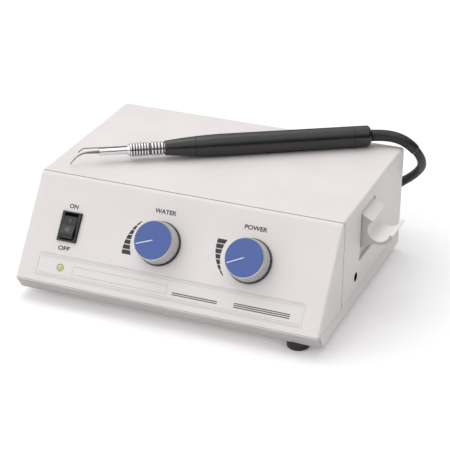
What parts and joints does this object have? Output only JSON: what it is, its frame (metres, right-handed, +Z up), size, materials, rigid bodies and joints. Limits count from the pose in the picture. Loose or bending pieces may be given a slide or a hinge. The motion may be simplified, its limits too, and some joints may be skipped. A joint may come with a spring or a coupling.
{
  "type": "ultrasonic dental scaler",
  "caption": "Table-top ultrasonic scaler: wedge-shaped case with rocker switch, water and power knobs, lamp, side cradle, and a corded handpiece with a pull-out insert.",
  "frame": {"origin": "bottom centre of the scaler without its cord, on the table", "axes": "+X to the right as seen from the front, +Y to the back, +Z up"},
  "size_m": [0.2484, 0.2915, 0.0988],
  "materials": {
    "case_plastic": "satin, fine texture",
    "strip_plastic": "satin film",
    "knob_plastic": "silver, satin",
    "cap_plastic": "satin",
    "black_plastic": "satin",
    "switch_black": "glossy",
    "lamp_lens": "translucent green",
    "rubber": "matt",
    "cord_rubber": "smooth silicone",
    "steel": "ground",
    "black_steel": "black oxide",
    "chrome": "polished",
    "brass": "plain",
    "aluminium": "extruded",
    "board_laminate": "green glass-fibre laminate",
    "component_plastic": "sleeved",
    "core_steel": "stacked laminations",
    "copper_winding": "taped copper winding",
    "hose_plastic": "clear-grey tubing",
    "wire_insulation": "coloured wires",
    "liner_plastic": "moulded"
  },
  "bodies": {
    "case": {"base_tray": "case_plastic", "top_cover": "case_plastic", "front_bezel": "case_plastic", "label_strip": "strip_plastic", "rear_panel": "aluminium", "rubber_feet": "rubber", "foot_screws": "steel", "cover_screws": "black_steel", "panel_screws": "steel", "switch_housing": "switch_black", "power_lamp": "lamp_lens", "water_valve_nut": "steel", "water_valve": "brass", "potentiometer_nut": "steel", "potentiometer": "steel", "generator_board": "board_laminate", "board_components": "component_plastic", "board_screws": "steel", "heat_sink": "aluminium", "power_transistors": "component_plastic", "transformer_core": "core_steel", "transformer_winding": "copper_winding", "transformer_strap": "steel", "solenoid_valve": "brass", "solenoid_coil": "copper_winding", "solenoid_spring": "steel", "water_filter": "hose_plastic", "water_hoses": "hose_plastic", "wiring_harness": "wire_insulation", "power_inlet": "black_plastic", "fuse_holder": "black_plastic", "foot_switch_jack": "black_plastic", "water_inlet": "brass", "cord_gland": "black_plastic", "handpiece_cradle": "case_plastic", "cradle_screws": "steel", "cord_to_coil": "cord_rubber", "cord_coil": "cord_rubber", "cord_to_gland": "cord_rubber"},
    "rocker": {"switch_rocker": "switch_black"},
    "water_knob": {"water_knob_body": "knob_plastic", "water_knob_cap": "cap_plastic", "water_knob_skirt": "black_plastic", "water_valve_stem": "steel"},
    "power_knob": {"power_knob_body": "knob_plastic", "power_knob_cap": "cap_plastic", "power_knob_skirt": "black_plastic", "potentiometer_shaft": "steel"},
    "handpiece": {"handpiece_barrel": "black_plastic", "handpiece_nose": "black_plastic", "handpiece_end_cap": "black_plastic", "handpiece_liner": "liner_plastic", "drive_coil": "copper_winding"},
    "insert_ring": {"insert_seal": "rubber"},
    "insert": {"insert_body": "chrome", "insert_stack": "steel", "insert_tube": "chrome", "scaler_tip": "steel", "insert_water_line": "steel"},
    "valve_plunger": {"solenoid_plunger": "steel"}
  },
  "joints": [
    {"name": "power_rocker", "type": "hinge", "parent": "case", "child": "rocker", "pos_m": [-0.09197, -0.07465, 0.05012], "axis": [1, 0, 0], "range_deg": [0, 24]},
    {"name": "water_knob_turn", "type": "hinge", "parent": "case", "child": "water_knob", "pos_m": [-0.02317, -0.07503, 0.05062], "axis": [0, 0.8217, -0.5699], "range_deg": [-45, 255]},
    {"name": "power_knob_turn", "type": "hinge", "parent": "case", "child": "power_knob", "pos_m": [0.04333, -0.07503, 0.05062], "axis": [0, 0.8217, -0.5699], "range_deg": [-45, 255]},
    {"name": "handpiece_lift", "type": "slide", "parent": "case", "child": "handpiece", "axis": [-0.0089, -0.0055, 0.9999], "range_m": [0, 0.06]},
    {"name": "insert_slide", "type": "slide", "parent": "handpiece", "child": "insert_ring", "axis": [-0.8535, -0.521, -0.0105], "range_m": [0, 0.12]},
    {"name": "insert_turn", "type": "hinge", "parent": "insert_ring", "child": "insert", "pos_m": [-0.05177, -0.00335, 0.08965], "axis": [-0.8535, -0.521, -0.0105], "continuous": true},
    {"name": "valve_plunger_slide", "type": "slide", "parent": "case", "child": "valve_plunger", "axis": [0, 0, 1], "range_m": [0, 0.002], "stiffness_N_per_m": 150, "springref_m": -0.004, "deforming": ["solenoid_spring"]}
  ]
}
